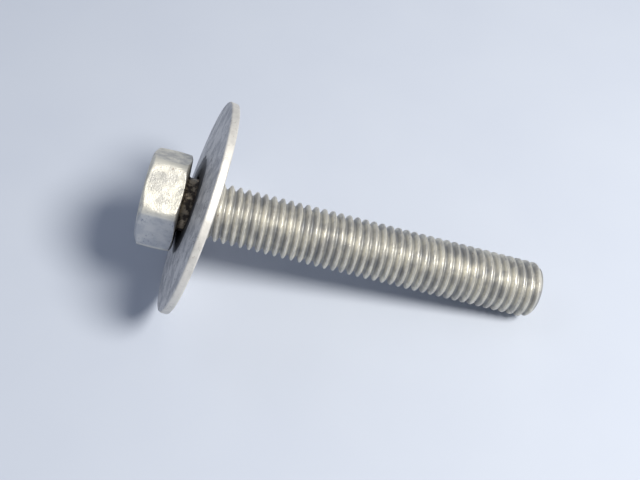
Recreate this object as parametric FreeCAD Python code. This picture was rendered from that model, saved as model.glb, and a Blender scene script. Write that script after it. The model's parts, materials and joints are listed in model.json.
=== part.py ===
"""Fully threaded M12 x 75 hex bolt with a large captive dished washer.

The pair lies on a level surface the way it comes to rest when it is put down: the washer's
rim and the thread's tip touch the surface, the head hangs clear of it, and the loose washer
leans until its seat meets the underside of the head. Each piece is built about its own axis
(+X, from head to tip) and then placed. Millimetres, +Z up. The origin is on the surface,
under the centre of the whole object's box.
"""
import FreeCAD, Part
import math
import os
from FreeCAD import Matrix, Placement, Rotation, Vector

# bolt: ISO metric coarse thread, hexagon head of the ISO 4017 proportions
PITCH = 1.75
MAJOR_R = 11.88 / 2           # rolled crest, a little under the nominal 12
ROOT_R = 9.86 / 2             # bottom of the rounded root
LENGTH = 75.0                 # bearing face to tip
FLATS = 18.0                  # across the flats
HEAD_H = 7.5
HEX_TWIST = 9.0               # turn of the hexagon about the bolt's axis, degrees
SHANK_R = 10.8 / 2            # plain neck under the head, the rolling blank's size
NECK_END = 4.3                # where the crests start to grow out of the neck
CREST_FULL = 5.5              # where the crests reach full height
ROOT_FULL = 6.4               # where the grooves reach full depth
NECK_FILLET = 0.7
TIP_LENGTH = 2.0              # rounded lead-in at the tip
TIP_R = 4.75                  # flat end face of the tip
TIP_BULGE = (0.58, 0.72)      # a point of the tip's curve, as parts of its length and height
ROOT_KNEE = 0.12              # height of the groove's rounded bottom
GROOVE_OVER = 0.12            # how far the cutting groove stands out over the crests
GROOVE_RUN_UP = 2 * PITCH     # the groove starts this far inside the head end
CREST_LEAD = 0.5              # the crests' cone starts this far before the neck ends
CREST_SUNK = 0.2              # and this far under the neck's surface
NECK_SUNK = 1.0               # the neck's solid reaches this far into the head
CORE_SUNK = 0.05              # and ends this far under the thread's root

# head: its corners are not filled out, so a barrel bounds them
END_FACE_R = 8.5              # flat of the outer end face
CHAMFER_X = 0.8               # axial length of the end chamfer
CORNER_R = 10.18              # over the corners, at mid height
CORNER_END_R = 9.95           # over the corners, where the barrel meets the chamfers
BEARING_R = 9.1               # flat of the bearing face
BEARING_X = 0.35              # axial length of the bearing side's chamfer

# washer: pressed disc, dished towards the head, with a flat seat under the head
RIM_R = 44.0 / 2
THICK = 1.7
DISH = 0.8                    # rise of the seat over the rim
SEAT_R = 10.5
HOLE_R = 11.3 / 2             # smaller than the thread crests, so the washer stays on
RIM_ROUND = 0.35              # radius of the rim's two edges
HOLE_ROUND = 0.2              # bevel of the hole's two edges
LEAN = 8.6                    # degrees that the loose washer leans from square
HEAD_GAP = 0.04               # left between the leaning seat and the head


def line(a, b):
    return Part.makeLine(Vector(a[0], a[1], 0), Vector(b[0], b[1], 0))


def arc(a, middle, b):
    return Part.Arc(*(Vector(p[0], p[1], 0) for p in (a, middle, b))).toShape()


def outline(*corners):
    """Straight edges through the corners, open."""
    return [line(a, b) for a, b in zip(corners, corners[1:])]


def revolve(edges):
    """A solid turned about X from a closed outline in the XY plane; Y is the radius."""
    face = Part.Face(Part.Wire(edges))
    return face.revolve(Vector(0, 0, 0), Vector(1, 0, 0), 360)


def head():
    """Forged hexagon, its corners bounded by a barrel and both its ends chamfered."""
    corner = FLATS / math.sqrt(3)
    points = []
    for k in range(7):
        angle = math.radians(HEX_TWIST + 60 * k)
        points.append(Vector(-HEAD_H, corner * math.sin(angle), corner * math.cos(angle)))
    prism = Part.Face(Part.makePolygon(points)).extrude(Vector(HEAD_H, 0, 0))
    end_corner = (CHAMFER_X - HEAD_H, CORNER_END_R)
    bearing_corner = (-BEARING_X, CORNER_END_R)
    barrel = outline(bearing_corner, (0, BEARING_R), (0, 0), (-HEAD_H, 0),
                     (-HEAD_H, END_FACE_R), end_corner)
    barrel.append(arc(end_corner, (-HEAD_H / 2, CORNER_R), bearing_corner))
    return prism.common(revolve(barrel))


def neck():
    """Plain neck with the fillet under the head; its taper ends inside the thread's core."""
    top = SHANK_R + NECK_FILLET
    inset = NECK_FILLET * (1 - math.sqrt(0.5))
    edges = outline((NECK_FILLET, SHANK_R), (NECK_END, SHANK_R),
                    (ROOT_FULL, ROOT_R - CORE_SUNK), (ROOT_FULL, 0), (-NECK_SUNK, 0),
                    (-NECK_SUNK, top), (0, top))
    edges.append(arc((0, top), (inset, SHANK_R + inset), (NECK_FILLET, SHANK_R)))
    return revolve(edges)


def thread_blank():
    """The crests' outer shape: they grow out of the neck and round off at the tip."""
    start = NECK_END - CREST_LEAD
    shoulder = (LENGTH - TIP_LENGTH, MAJOR_R)
    along, up = TIP_BULGE
    bulge = (shoulder[0] + along * TIP_LENGTH, TIP_R + up * (MAJOR_R - TIP_R))
    edges = outline((LENGTH, TIP_R), (LENGTH, 0), (start, 0), (start, SHANK_R - CREST_SUNK),
                    (CREST_FULL, MAJOR_R), shoulder)
    edges.append(arc(shoulder, bulge, (LENGTH, TIP_R)))
    return revolve(edges)


def groove(start):
    """One turn of the 60 degree V between the crests, with its rounded root."""
    slope = math.tan(math.radians(30))
    half = (PITCH - PITCH / 8) / 2        # the crest's flat is an eighth of the pitch
    root_half = half - (MAJOR_R - ROOT_R) * slope
    top_r, top_half = MAJOR_R + GROOVE_OVER, half + GROOVE_OVER * slope
    knee_r, knee_half = ROOT_R + ROOT_KNEE, root_half + ROOT_KNEE * slope
    knee_1, knee_2 = (start - knee_half, knee_r), (start + knee_half, knee_r)
    edges = outline(knee_2, (start + top_half, top_r), (start - top_half, top_r), knee_1)
    edges.append(arc(knee_1, (start, ROOT_R), knee_2))
    helix = Part.makeHelix(PITCH, PITCH, ROOT_R)
    # the helix climbs Z and starts on +X; this puts it along X, starting on +Y
    helix.transformShape(Matrix(0, 0, 1, start, 1, 0, 0, 0, 0, 1, 0, 0, 0, 0, 0, 1))
    return Part.Wire(helix).makePipeShell([Part.Wire(Part.sortEdges(edges)[0])], True, True)


def thread():
    """The blank with its groove cut one turn at a time, from before the neck to past the tip."""
    shape = thread_blank()
    start = NECK_END - GROOVE_RUN_UP
    turns = math.ceil((LENGTH - start) / PITCH) + 1
    for turn in range(turns):
        shape = shape.cut(groove(start + turn * PITCH))
    return shape


def bolt():
    """Head, fillet, neck and rolled thread: one forging."""
    return head().fuse(neck()).fuse(thread())


def washer():
    """Pressed disc about X. x = 0 is its hole's mid plane, and the rim lies towards +X."""
    half = THICK / 2
    near, far = -half, half               # seat face and its back
    rim_near, rim_far = DISH - half, DISH + half
    inset = RIM_ROUND * (1 - math.sqrt(0.5))
    edges = outline((rim_near, RIM_R - RIM_ROUND), (near, SEAT_R),
                    (near, HOLE_R + HOLE_ROUND), (near + HOLE_ROUND, HOLE_R),
                    (far - HOLE_ROUND, HOLE_R), (far, HOLE_R + HOLE_ROUND),
                    (far, SEAT_R), (rim_far, RIM_R - RIM_ROUND))
    edges.append(arc((rim_far, RIM_R - RIM_ROUND), (rim_far - inset, RIM_R - inset),
                     (rim_far - RIM_ROUND, RIM_R)))
    edges.append(line((rim_far - RIM_ROUND, RIM_R), (rim_near + RIM_ROUND, RIM_R)))
    edges.append(arc((rim_near + RIM_ROUND, RIM_R), (rim_near + inset, RIM_R - inset),
                     (rim_near, RIM_R - RIM_ROUND)))
    return revolve(edges)


def washer_station():
    """Where the hole's middle sits on the bolt: the low edge of the seat meets the head."""
    lean = math.radians(LEAN)
    return HEAD_GAP + THICK / 2 / math.cos(lean) + BEARING_R * math.tan(lean)


def droop():
    """Slope of the bolt's axis, in radians, when rim and tip both touch the surface."""
    lean = math.radians(LEAN)
    reach = LENGTH - TIP_LENGTH - washer_station()
    low_r, low_x = RIM_R - RIM_ROUND, DISH + THICK / 2 - RIM_ROUND
    slope = 0.2
    for _ in range(30):
        tilt = slope + lean
        drop = low_r * math.cos(tilt) + low_x * math.sin(tilt) + RIM_ROUND
        slope = math.asin((drop - MAJOR_R * math.cos(slope)) / reach)
    return slope


def lying():
    """The bolt's placement: it droops towards +X, and the origin is under the box's middle."""
    slope = droop()
    height = MAJOR_R * math.cos(slope) + (LENGTH - TIP_LENGTH) * math.sin(slope)
    left = -HEAD_H * math.cos(slope) - END_FACE_R * math.sin(slope)
    right = LENGTH * math.cos(slope) + TIP_R * math.sin(slope)
    turn = Rotation(Vector(0, 1, 0), math.degrees(slope))
    return Placement(Vector(-(left + right) / 2, 0, height), turn)


def main():
    place = lying()
    on_neck = Placement(Vector(washer_station(), 0, 0), Rotation(Vector(0, 1, 0), LEAN))
    pieces = {
        "bolt": (bolt(), place),
        "washer": (washer(), place.multiply(on_neck)),
    }
    os.makedirs("parts", exist_ok=True)
    for name, (shape, where) in pieces.items():
        solid = shape.Solids[0]
        solid.Placement = where.multiply(solid.Placement)
        if not solid.isValid() or len(shape.Solids) != 1:
            raise RuntimeError(f"{name} is not one valid solid")
        solid.exportStep(f"parts/{name}.step")
        box = solid.BoundBox
        print(f"{name}: {solid.Volume:.0f} mm3, x {box.XMin:.2f} {box.XMax:.2f}, "
              f"z {box.ZMin:.2f} {box.ZMax:.2f}")


if __name__ == "__main__":
    main()
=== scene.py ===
"""Looks of the hex bolt and its captive washer: zinc-coated steel on a plain pale floor."""
import json
import math

import bmesh
import bpy
import numpy as np
from mathutils import Matrix, Vector, noise

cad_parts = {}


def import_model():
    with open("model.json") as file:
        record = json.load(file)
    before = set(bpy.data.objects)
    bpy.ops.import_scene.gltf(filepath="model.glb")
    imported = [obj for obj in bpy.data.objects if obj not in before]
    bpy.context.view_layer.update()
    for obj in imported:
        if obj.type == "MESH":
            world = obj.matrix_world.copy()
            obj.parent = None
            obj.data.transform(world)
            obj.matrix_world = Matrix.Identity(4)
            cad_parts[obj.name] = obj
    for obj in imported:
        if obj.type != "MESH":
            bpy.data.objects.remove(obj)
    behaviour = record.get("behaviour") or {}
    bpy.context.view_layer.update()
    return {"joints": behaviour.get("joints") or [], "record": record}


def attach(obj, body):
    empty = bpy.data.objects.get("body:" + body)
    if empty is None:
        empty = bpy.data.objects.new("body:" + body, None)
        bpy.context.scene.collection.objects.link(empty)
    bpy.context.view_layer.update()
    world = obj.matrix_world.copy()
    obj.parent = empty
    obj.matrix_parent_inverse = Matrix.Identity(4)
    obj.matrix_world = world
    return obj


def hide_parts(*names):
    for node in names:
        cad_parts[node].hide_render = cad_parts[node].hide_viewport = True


MM = 0.001
PITCH = 1.75 * MM
HELIX_START = 0.8 * MM        # a groove's middle crosses the bolt's +Y side here
COLUMNS = 120                 # steps round each piece
ON_AXIS = 0.1 * MM            # points nearer the axis than this have no dents
MERGE = 0.002 * MM            # points nearer each other than this become one

# bolt, along its axis from the bearing face at 0
HEAD_H = 7.5 * MM
FLATS = 18.0 * MM
HEX_CORNER = math.radians(81)    # one corner, from +Y towards the upper side
EDGE_SOFT = 0.22 * MM         # how softly the head's edges are rounded
END_FACE_R = 8.5 * MM
BEARING_R = 9.1 * MM
CORNER_END_R = 9.95 * MM      # over the corners, where the barrel meets the chamfers
CORNER_BULGE = 0.23 * MM      # and how much more it is half way along
CHAMFER_X = 0.8 * MM
BEARING_X = 0.35 * MM
BARREL_ROWS = 26
LENGTH = 75.0 * MM
TIP_LENGTH = 2.0 * MM
TIP_R = 4.75 * MM
CREST_R = 5.94 * MM
ROOT_R = 4.93 * MM
NECK_R = 5.4 * MM
NECK_FILLET = 0.7 * MM
NECK_PLAIN = 1.0 * MM         # the neck's straight rows start here
NECK_END = 4.3 * MM
HELIX_CUT = 3.4 * MM          # helical rows begin here, still on the plain neck
CREST_START = 3.8 * MM
CREST_FULL = 5.5 * MM
ROOT_FULL = 6.4 * MM
CREST_HALF = 0.085            # half the crest's width, in pitches
CREST_SUNK = 0.2 * MM         # the crests' cone starts this far under the neck
CORE_SUNK = 0.05 * MM         # the neck's cone ends this far under the roots
CORE_FADE = 0.1 * MM          # and then drops away over this length
FLANK = math.radians(30)
CREST_SOFT = 0.14 * MM        # how softly crests, roots and the ends of the thread are rounded
ROOT_SOFT = 0.22 * MM
END_SOFT = 0.08 * MM
SEAM_DEEP = 0.05 * MM         # fine groove along the crest, as rolling leaves
SEAM_HALF = 0.022             # half its width, in pitches
TIP_BULGE = 0.85              # 1 would be a parabola
RECESS = ((0, 4.3), (0.05, 4.0), (0.12, 3.4), (0.12, 0))    # tip's end: depth and radius in mm
# rows over half a pitch, in pitches from the groove's middle, closer at the crest's seam
ROWS = (0, 0.06, 0.13, 0.21, 0.30, 0.38, 0.43, 0.468)

# washer, along its own axis from the middle of its hole
RIM_R = 22.0 * MM
HOLE_R = 5.65 * MM
THICK = 1.7 * MM
DISH = 0.8 * MM
SEAT_R = 10.5 * MM            # where the flat seat ends and the dish starts
RIM_ROUND = 0.35 * MM
HOLE_ROUND = 0.2 * MM
SEAT_ROWS = (5.85, 6.6, 7.6, 8.6, 9.6, 10.3)    # radii in mm
BEND_RISE = 0.02 * MM         # the dish starts gently past the seat
BEND_WIDTH = 0.4 * MM

# dents: mean depth, and distance across
HEAD_DENTS = (0.035 * MM, 2.2 * MM)
THREAD_DENTS = (0.018 * MM, 0.6 * MM)
WASHER_DENTS = (0.03 * MM, 3.0 * MM)

# colours: red, green, blue and opacity
BOLT_LIGHT = (0.76, 0.73, 0.64, 1)
BOLT_DARK = (0.47, 0.46, 0.43, 1)
WASHER_LIGHT = (0.74, 0.73, 0.73, 1)
WASHER_DARK = (0.48, 0.48, 0.50, 1)
# painted shade with a painted reflection of the blue floor, on the head's lower side facet
SIDE_SHADE_AND_REFLECTION = (0.33, 0.37, 0.46, 1)
FLECK = (0.13, 0.13, 0.15, 1)
RUST = (0.20, 0.12, 0.075, 1)
# rubbed crest colour, lightened further as a painted highlight
WORN_CREST_AND_HIGHLIGHT = (0.90, 0.87, 0.77, 1)
WORN_CORNER = (0.88, 0.85, 0.75, 1)
# painted shade in the thread's roots
PAINTED_ROOT_SHADE = (0.12, 0.135, 0.17, 1)
# painted shade in the seam along the crests
PAINTED_SEAM_SHADE = (0.22, 0.21, 0.19, 1)
# the neck's own dark steel, darkened further as painted shade between head and washer
BARE_AND_SHADED_NECK = (0.075, 0.058, 0.045, 1)
BRONZE = (0.55, 0.45, 0.32, 1)
SHEARED_EDGE = (0.80, 0.76, 0.67, 1)
# painted shadow of the head on the washer's seat
PAINTED_HEAD_SHADOW = (0.05, 0.052, 0.065, 1)
FLOOR_SIZE = 3.0
FLOOR_TONES = ((0.50, 0.54, 0.63, 1), (0.54, 0.58, 0.66, 1))
SKY = (0.72, 0.81, 1.0, 1)

# where the finish and the painted shade, highlight and reflection change, as the two ends of each
# change
SIDE_FACET = (-7.2 * MM, -8.4 * MM)      # along Y
HEAD_SIDE = (0.0, -0.2 * MM)             # along the axis
THREADED = (4.6 * MM, 5.6 * MM)
NECK_FROM = (-0.05 * MM, 0.1 * MM)
NECK_TO = (5.2 * MM, NECK_END)
WASHER_FRONT = (0.5 * MM, -0.5 * MM)
CORNER_OUT = (9.1 * MM, 9.7 * MM)        # from the axis
ROOT_DEEP = (5.6 * MM, 5.0 * MM)
RIM_BAND = (21.6 * MM, 21.9 * MM)
SEAT_BORDER = (SEAT_R + 1.2 * MM, SEAT_R + 0.8 * MM)
CREST_BAND = (0.11, 0.05)                # from the crest's middle, in pitches
SEAM_BAND = (0.035, 0.008)
CORNER_BAND = (0.10, 0.04)               # from the corner, in sixths of a turn

CAMERA = {
    "distance": 180 * MM,
    "turn": -5.0,             # degrees about +Z, to the right of straight along +Y
    "elevation": 57.0,
    "roll": 3.0,
    "lens": 48.7,
    "sensor": 36.0,
    "near": 0.005,
    "aim": Vector((0, 0, 10 * MM)),
    "aim_shift": (-4.58 * MM, 3.06 * MM),    # along the picture's right and up
}


def soft_min(a, b, width):
    """The smaller of a and b, rounded where they cross."""
    share = np.clip(0.5 + 0.5 * (b - a) / width, 0, 1)
    return b * (1 - share) + a * share - width * share * (1 - share)


def soft_max(a, b, width):
    """The larger of a and b, rounded where they cross."""
    return -soft_min(-a, -b, width)


def turned(name, x, radius, origin, axis, dents):
    """A closed skin from rows of points: x along the axis and radius from it, one per column.

    dents(point) gives the depth and size of the dents there, in the uneven surface of real steel.
    """
    angle = 2 * math.pi * (np.arange(COLUMNS + 1) % COLUMNS) / COLUMNS
    local = np.stack((x, radius * np.cos(angle), radius * np.sin(angle)), axis=-1)
    place = Matrix((axis, (0, 1, 0), axis.cross(Vector((0, 1, 0))))).transposed()
    mesh = bmesh.new()
    points = []
    for point in map(Vector, local.reshape(-1, 3)):
        outward = Vector((0, point.y, point.z))
        if outward.length > ON_AXIS:
            depth, size = dents(point)
            point -= outward.normalized() * depth * (1 + noise.noise(point / size))
        points.append(mesh.verts.new(origin + place @ point))
    rows, columns = radius.shape
    for row in range(rows - 1):
        for column in range(columns - 1):
            a = row * columns + column
            mesh.faces.new([points[k] for k in (a, a + 1, a + columns + 1, a + columns)])
    bmesh.ops.remove_doubles(mesh, verts=mesh.verts, dist=MERGE)
    loose = [v for v in mesh.verts if not v.link_faces]
    bmesh.ops.delete(mesh, geom=loose, context="VERTS")
    bmesh.ops.recalc_face_normals(mesh, faces=mesh.faces)
    for face in mesh.faces:
        face.smooth = True
    data = bpy.data.meshes.new(name)
    mesh.to_mesh(data)
    mesh.free()
    piece = bpy.data.objects.new(name, data)
    bpy.context.scene.collection.objects.link(piece)
    return piece


def stack(profile, shape=None):
    """Rows of constant x from (x, radius) points; shape(radius row) may reshape each one."""
    x, radius = (np.repeat(np.array(values)[:, None], COLUMNS + 1, 1) for values in zip(*profile))
    return x, radius if shape is None else shape(radius)


def circle_arc(middle, radius, start, end, steps):
    """(x, radius) points along an arc; the angles are in degrees from +x."""
    turns = [math.radians(start + (end - start) * k / steps) for k in range(steps + 1)]
    return [(middle[0] + radius * math.cos(t), middle[1] + radius * math.sin(t)) for t in turns]


def spread(a, b, steps):
    """Points from a up to b, b left out."""
    return [tuple(p + (q - p) * k / steps for p, q in zip(a, b)) for k in range(steps)]


def head_rows():
    """Hexagon bounded by a barrel, with chamfers, as rows from the end face to the bearing face."""
    angle = np.linspace(0, 2 * math.pi, COLUMNS + 1)
    from_flat = (angle - HEX_CORNER) % (math.pi / 3) - math.pi / 6
    hexagon = FLATS / 2 / np.cos(from_flat)
    end_corner, bearing_corner = (CHAMFER_X - HEAD_H, CORNER_END_R), (-BEARING_X, CORNER_END_R)
    face_edge, seat_edge = (-HEAD_H, END_FACE_R), (0.0, BEARING_R)
    barrel = [(x, r + CORNER_BULGE * math.sin(math.pi * k / BARREL_ROWS))
              for k, (x, r) in enumerate(spread(end_corner, bearing_corner, BARREL_ROWS))]
    profile = (spread((-HEAD_H, 0.0), face_edge, 12) + spread(face_edge, end_corner, 10) + barrel
               + spread(bearing_corner, seat_edge, 5)
               + spread(seat_edge, (0.0, NECK_R + NECK_FILLET), 6))
    return stack(profile, lambda radius: soft_min(radius, hexagon, EDGE_SOFT) * (radius > 0))


def neck_rows():
    """Fillet under the head and the plain neck."""
    fillet = circle_arc((NECK_FILLET, NECK_R + NECK_FILLET), NECK_FILLET, 180, 270, 6)
    return stack(fillet + spread((NECK_PLAIN, NECK_R), (HELIX_CUT, NECK_R), 8))


def thread_radius(x, angle):
    """Radius of the threaded stretch at x, where the helix has its groove, crest and run-out."""
    phase = ((x - HELIX_START) / PITCH - angle / (2 * math.pi)) % 1
    from_crest = np.abs(phase - 0.5)
    flank = CREST_R - (from_crest - CREST_HALF) * PITCH / math.tan(FLANK)
    ridge = soft_max(soft_min(flank, CREST_R, CREST_SOFT), ROOT_R, ROOT_SOFT)
    seam = SEAM_DEEP * np.exp(-((phase - 0.5) / SEAM_HALF) ** 2)
    near_neck = np.interp(x, (CREST_START, CREST_FULL), (NECK_R - CREST_SUNK, CREST_R))
    in_tip = np.clip((x - LENGTH + TIP_LENGTH) / TIP_LENGTH, 0, 1)
    near_tip = TIP_R + (CREST_R - TIP_R) * (1 - in_tip ** 2) ** TIP_BULGE
    core_x = (NECK_END, ROOT_FULL, ROOT_FULL + CORE_FADE)
    core = np.interp(x, core_x, (NECK_R, ROOT_R - CORE_SUNK, 0))
    thread = soft_min(ridge - seam, np.minimum(near_neck, near_tip), END_SOFT)
    return soft_max(thread, core, END_SOFT)


def thread_rows():
    """Rows that follow the helix, held between the neck and the tip's end."""
    angle = np.linspace(0, 2 * math.pi, COLUMNS + 1)
    phases = np.array(ROWS + (0.5,) + tuple(1 - row for row in reversed(ROWS[1:])))
    turns = math.ceil((LENGTH - HELIX_START) / PITCH) + 1
    start = (np.arange(turns)[:, None] + phases[None, :]).ravel()
    x = HELIX_START + (start[:, None] + angle[None, :] / (2 * math.pi)) * PITCH
    x = np.clip(x, HELIX_CUT, LENGTH)
    radius = thread_radius(x, angle[None, :])
    return x, np.where(x <= HELIX_CUT, NECK_R, radius)


def tip_rows():
    """Shallow recess in the tip's end face."""
    return stack([(LENGTH - depth * MM, radius * MM) for depth, radius in RECESS])


def bolt_piece(origin, axis):
    """Forged head, dark neck and rolled thread, as one skin."""
    def dents(point):
        return HEAD_DENTS if point.x < 0 else THREAD_DENTS

    groups = (head_rows(), neck_rows(), thread_rows(), tip_rows())
    x, radius = (np.vstack(rows) for rows in zip(*groups))
    return turned("bolt_skin", x, radius, origin, axis, dents)


def washer_piece(origin, axis):
    """Pressed disc with rolled-over edges and a slightly wavy dish."""
    half = THICK / 2
    outer = RIM_R - RIM_ROUND
    seat = [(-half, radius * MM) for radius in SEAT_ROWS]
    bend = (BEND_RISE - half, SEAT_R + BEND_WIDTH)
    face = spread(bend, (DISH - half, outer), 14)
    near_round = circle_arc((DISH - half + RIM_ROUND, outer), RIM_ROUND, 180, 90, 5)
    far_round = circle_arc((DISH + half - RIM_ROUND, outer), RIM_ROUND, 90, 0, 5)
    edge = spread(near_round[-1], far_round[0], 8)[1:]
    back = [(x + THICK, r) for x, r in reversed(seat + face)]
    hole = [(half - HOLE_ROUND, HOLE_R), (0.0, HOLE_R), (HOLE_ROUND - half, HOLE_R), seat[0]]
    x, radius = stack(seat + face + near_round + edge + far_round + back + hole)
    return turned("washer_skin", x, radius, origin, axis, lambda point: WASHER_DENTS)


class Nodes:
    """A material's node tree, with short calls for the nodes used here."""

    def __init__(self, name):
        self.material = bpy.data.materials.new(name)
        self.material.use_nodes = True
        self.tree = self.material.node_tree
        self.shader = self.tree.nodes["Principled BSDF"]

    def set(self, socket, value):
        """Link an output to a socket, or set the socket's constant."""
        if isinstance(value, bpy.types.NodeSocket):
            self.tree.links.new(value, socket)
        elif value is not None:
            socket.default_value = value

    def math(self, operation, a, b=None, c=None):
        node = self.tree.nodes.new("ShaderNodeMath")
        node.operation = operation
        for socket, value in zip(node.inputs, (a, b, c)):
            self.set(socket, value)
        return node.outputs[0]

    def times(self, a, b):
        return self.math("MULTIPLY", a, b)

    def plus(self, a, b):
        return self.math("ADD", a, b)

    def off_half(self, value):
        """How far the value is from 0.5."""
        return self.math("ABSOLUTE", self.math("SUBTRACT", value, 0.5))

    def radius(self, y, z):
        return self.math("SQRT", self.plus(self.times(y, y), self.times(z, z)))

    def ramp(self, value, low, high):
        """0 below low and 1 above high, smooth between; low may be the larger."""
        node = self.tree.nodes.new("ShaderNodeMapRange")
        node.interpolation_type = "SMOOTHSTEP"
        for name, item in (("Value", value), ("From Min", low), ("From Max", high)):
            self.set(node.inputs[name], item)
        return node.outputs["Result"]

    def noise(self, vector, size, detail=3.0, roughness=0.55):
        """Noise from 0 to 1 whose blobs are about size metres across."""
        node = self.tree.nodes.new("ShaderNodeTexNoise")
        self.set(node.inputs["Vector"], vector)
        node.inputs["Scale"].default_value = 1 / size
        node.inputs["Detail"].default_value = detail
        node.inputs["Roughness"].default_value = roughness
        return node.outputs["Fac"]

    def mix(self, factor, a, b):
        node = self.tree.nodes.new("ShaderNodeMix")
        node.data_type = "RGBA"
        self.set(node.inputs["Factor"], factor)
        self.set(node.inputs["A"], a)
        self.set(node.inputs["B"], b)
        return node.outputs["Result"]

    def local(self, origin, axis):
        """Coordinates whose X runs along axis from origin; the axis lies in the XZ plane."""
        turn = math.atan2(axis.z, axis.x)
        place = self.tree.nodes.new("ShaderNodeMapping")
        coordinate = self.tree.nodes.new("ShaderNodeTexCoord")
        self.set(place.inputs["Vector"], coordinate.outputs["Object"])
        place.inputs["Rotation"].default_value = (0, turn, 0)
        place.inputs["Location"].default_value = -(Matrix.Rotation(turn, 3, "Y") @ origin)
        return place.outputs["Vector"]

    def parts(self, vector):
        node = self.tree.nodes.new("ShaderNodeSeparateXYZ")
        self.set(node.inputs[0], vector)
        return node.outputs

    def vector(self, x, y, z):
        node = self.tree.nodes.new("ShaderNodeCombineXYZ")
        for socket, value in zip(node.inputs, (x, y, z)):
            self.set(socket, value)
        return node.outputs[0]

    def bump(self, height, distance, normal=None):
        node = self.tree.nodes.new("ShaderNodeBump")
        node.inputs["Distance"].default_value = distance
        self.set(node.inputs["Height"], height)
        self.set(node.inputs["Normal"], normal)
        return node.outputs["Normal"]


def zinc(nodes, place, light, dark, stained):
    """Mottled dull zinc: broad patches, small spots, brown specks, and flecks where stained."""
    patches = nodes.ramp(nodes.noise(place, 3.0 * MM), 0.40, 0.64)
    spots = nodes.ramp(nodes.noise(place, 0.7 * MM, 4.0, 0.65), 0.52, 0.68)
    small = nodes.ramp(nodes.noise(place, 0.5 * MM, 2.0), 0.56, 0.64)
    clusters = nodes.ramp(nodes.noise(place, 4.0 * MM, 2.0), 0.46, 0.58)
    specks = nodes.ramp(nodes.noise(place, 1.1 * MM, 5.0, 0.7), 0.65, 0.70)
    tone = nodes.mix(patches, light, dark)
    tone = nodes.mix(nodes.times(spots, 0.45), tone, dark)
    tone = nodes.mix(nodes.times(nodes.times(small, clusters), stained), tone, FLECK)
    return nodes.mix(specks, tone, RUST)


def bolt_material(origin, axis):
    nodes = Nodes("bolt_zinc")
    place = nodes.local(origin, axis)
    x, y, z = nodes.parts(place)
    radius = nodes.radius(y, z)
    turn = nodes.math("DIVIDE", nodes.math("ARCTAN2", z, y), 2 * math.pi)
    on_head = nodes.ramp(x, *HEAD_SIDE)
    on_thread = nodes.ramp(x, *THREADED)

    # one side of the head gets painted shade with a painted grey-blue reflection of the floor, and
    # more flecks; the rest is hardly marked
    painted_reflection_side = nodes.times(nodes.ramp(y, *SIDE_FACET), on_head)
    stained = nodes.math("MULTIPLY_ADD", painted_reflection_side, 0.7, 0.2)
    coat = zinc(nodes, place, BOLT_LIGHT, BOLT_DARK, stained)
    coat = nodes.mix(nodes.times(painted_reflection_side, 0.6), coat, SIDE_SHADE_AND_REFLECTION)

    # thread: crests rubbed bright and lightened further as a painted highlight, painted shade in
    # the roots, and a dark painted shade line along the seam in the crest's middle
    along = nodes.math("DIVIDE", nodes.math("SUBTRACT", x, HELIX_START), PITCH)
    phase = nodes.math("FRACT", nodes.plus(nodes.math("SUBTRACT", along, turn), 8.0))
    wander = nodes.times(nodes.math("SUBTRACT", nodes.noise(place, 0.9 * MM), 0.5), 0.16)
    from_crest = nodes.off_half(nodes.plus(phase, wander))
    crest = nodes.times(nodes.ramp(from_crest, *CREST_BAND), on_thread)
    seam = nodes.times(nodes.ramp(from_crest, *SEAM_BAND), on_thread)
    root_shade = nodes.times(nodes.ramp(radius, *ROOT_DEEP), on_thread)
    tone = nodes.mix(nodes.times(crest, 0.55), coat, WORN_CREST_AND_HIGHLIGHT)
    tone = nodes.mix(nodes.times(root_shade, 0.55), tone, PAINTED_ROOT_SHADE)
    tone = nodes.mix(nodes.times(seam, 0.55), tone, PAINTED_SEAM_SHADE)

    # head: the coat is rubbed lighter along the corners
    sixth = nodes.math("MULTIPLY_ADD", turn, 6.0, 6.5 - HEX_CORNER * 3 / math.pi)
    from_corner = nodes.off_half(nodes.math("FRACT", sixth))
    corner = nodes.times(nodes.ramp(from_corner, *CORNER_BAND), on_head)
    corner = nodes.times(corner, nodes.ramp(radius, *CORNER_OUT))
    tone = nodes.mix(nodes.times(corner, 0.55), tone, WORN_CORNER)

    # neck: unplated brown-black steel, darkened further as painted shade between head and washer,
    # with bronze patches
    bronze = nodes.ramp(nodes.noise(place, 1.3 * MM, 4.0), 0.40, 0.60)
    bare_and_shaded = nodes.times(nodes.ramp(x, *NECK_FROM), nodes.ramp(x, *NECK_TO))
    tone = nodes.mix(bare_and_shaded, tone, nodes.mix(bronze, BARE_AND_SHADED_NECK, BRONZE))
    nodes.set(nodes.shader.inputs["Base Color"], tone)

    rough = nodes.math("MULTIPLY_ADD", nodes.noise(place, 0.8 * MM), 0.28, 0.30)
    nodes.set(nodes.shader.inputs["Roughness"], nodes.math("MULTIPLY_ADD", crest, -0.10, rough))
    nodes.shader.inputs["Metallic"].default_value = 0.6

    # fine grain with slow waves, streaks that follow the helix, and the seam
    waves = nodes.times(nodes.noise(place, 1.8 * MM), 1.5)
    normal = nodes.bump(nodes.plus(nodes.noise(place, 0.28 * MM, 4.0), waves), 0.05 * MM)
    streak = nodes.noise(nodes.vector(nodes.times(phase, 9.0), turn, 0.0), 0.9, 3.0)
    normal = nodes.bump(nodes.times(streak, on_thread), 0.03 * MM, normal)
    normal = nodes.bump(nodes.times(seam, -1.0), 0.07 * MM, normal)
    nodes.set(nodes.shader.inputs["Normal"], normal)
    return nodes.material


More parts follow.
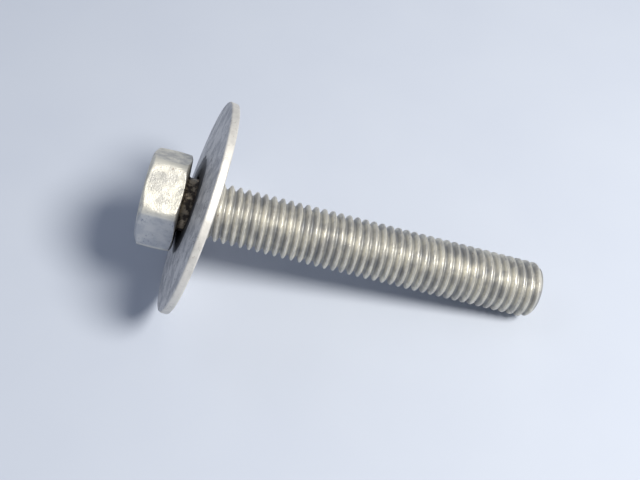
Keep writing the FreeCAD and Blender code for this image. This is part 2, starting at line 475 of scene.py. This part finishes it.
def washer_material(origin, axis):
    nodes = Nodes("washer_zinc")
    place = nodes.local(origin, axis)
    x, y, z = nodes.parts(place)
    radius = nodes.radius(y, z)
    coat = zinc(nodes, place, WASHER_LIGHT, WASHER_DARK, 0.6)

    # the sheared rim is brighter
    edge = nodes.ramp(radius, *RIM_BAND)
    tone = nodes.mix(nodes.times(edge, 0.55), coat, SHEARED_EDGE)

    # painted shadow of the head on the seat under it, its border ragged
    ragged = nodes.math("MULTIPLY_ADD", nodes.noise(place, 1.6 * MM), 2.4 * MM, radius)
    seat = nodes.times(nodes.ramp(ragged, *SEAT_BORDER), nodes.ramp(x, *WASHER_FRONT))
    tone = nodes.mix(nodes.times(seat, 0.85), tone, PAINTED_HEAD_SHADOW)
    nodes.set(nodes.shader.inputs["Base Color"], tone)

    rough = nodes.math("MULTIPLY_ADD", nodes.noise(place, 1.2 * MM), 0.30, 0.40)
    nodes.set(nodes.shader.inputs["Roughness"], rough)
    nodes.shader.inputs["Metallic"].default_value = 0.55

    # fine grain, then faint rings from the press with slow waves
    turn = nodes.math("ARCTAN2", z, y)
    rings = nodes.noise(nodes.vector(nodes.times(radius, 3.0 / MM), turn, 0.0), 1.0, 3.0)
    normal = nodes.bump(nodes.noise(place, 0.3 * MM, 4.0), 0.05 * MM)
    normal = nodes.bump(nodes.plus(rings, nodes.noise(place, 2.5 * MM)), 0.04 * MM, normal)
    nodes.set(nodes.shader.inputs["Normal"], normal)
    return nodes.material


def floor_material():
    nodes = Nodes("floor_paper")
    coordinate = nodes.tree.nodes.new("ShaderNodeTexCoord").outputs["Object"]
    tone = nodes.mix(nodes.noise(coordinate, 30 * MM, 2.0), *FLOOR_TONES)
    nodes.set(nodes.shader.inputs["Base Color"], tone)
    nodes.shader.inputs["Roughness"].default_value = 0.9
    return nodes.material


def install(piece, material, node, body):
    """Show the piece in the CAD node's place, moving with its body."""
    piece.data.materials.append(material)
    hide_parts(node)
    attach(piece, body)


def floor():
    bpy.ops.mesh.primitive_plane_add(size=FLOOR_SIZE, location=(0, 0, 0))
    plane = bpy.context.object
    plane.name = "floor"
    plane.data.materials.append(floor_material())


def area_light(name, place, size, power, tint):
    """A round soft light that shines at the origin."""
    data = bpy.data.lights.new(name, "AREA")
    data.shape, data.size, data.energy, data.color = "DISK", size, power, tint
    lamp = bpy.data.objects.new(name, data)
    lamp.location = place
    lamp.rotation_euler = (-Vector(place)).to_track_quat("-Z", "Y").to_euler()
    bpy.context.scene.collection.objects.link(lamp)


def lights():
    area_light("key", (0.30, -0.10, 0.46), size=0.20, power=4.0, tint=(1.0, 0.97, 0.90))
    area_light("fill", (-0.45, 0.20, 0.50), size=0.50, power=0.4, tint=(0.90, 0.94, 1.0))
    world = bpy.data.worlds.new("studio")
    world.use_nodes = True
    background = world.node_tree.nodes["Background"]
    background.inputs["Color"].default_value = SKY
    background.inputs["Strength"].default_value = 0.30
    bpy.context.scene.world = world
    bpy.context.scene.view_settings.view_transform = "Standard"


def camera():
    turn, rise, roll = (math.radians(CAMERA[k]) for k in ("turn", "elevation", "roll"))
    ahead = Vector((math.sin(turn) * math.cos(rise), math.cos(turn) * math.cos(rise),
                    -math.sin(rise)))
    level = Vector((math.cos(turn), -math.sin(turn), 0))
    right = Matrix.Rotation(-roll, 3, ahead) @ level
    up = right.cross(ahead)
    shift = CAMERA["aim_shift"]
    place = CAMERA["aim"] + right * shift[0] + up * shift[1] - ahead * CAMERA["distance"]
    data = bpy.data.cameras.new("camera")
    data.lens, data.sensor_width = CAMERA["lens"], CAMERA["sensor"]
    data.clip_start = CAMERA["near"]
    eye = bpy.data.objects.new("camera", data)
    axes = Matrix((right, up, -ahead)).transposed().to_4x4()
    eye.matrix_world = Matrix.Translation(place) @ axes
    bpy.context.scene.collection.objects.link(eye)
    bpy.context.scene.camera = eye


def main():
    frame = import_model()
    mounts = {m["name"]: m for m in frame["record"]["mounts"]}
    axis = Vector(mounts["thread"]["axis"])
    end_face = Vector(mounts["head_end"]["pos_m"])
    head_height = 2 * (Vector(mounts["hex_drive"]["pos_m"]) - end_face).length
    base = end_face + axis * head_height
    spin = frame["joints"][0]
    hole, spin_axis = Vector(spin["pos_m"]), Vector(spin["axis"])
    install(bolt_piece(base, axis), bolt_material(base, axis), "bolt", "bolt")
    install(washer_piece(hole, spin_axis), washer_material(hole, spin_axis),
            "washer", "washer")
    floor()
    lights()
    camera()


main()
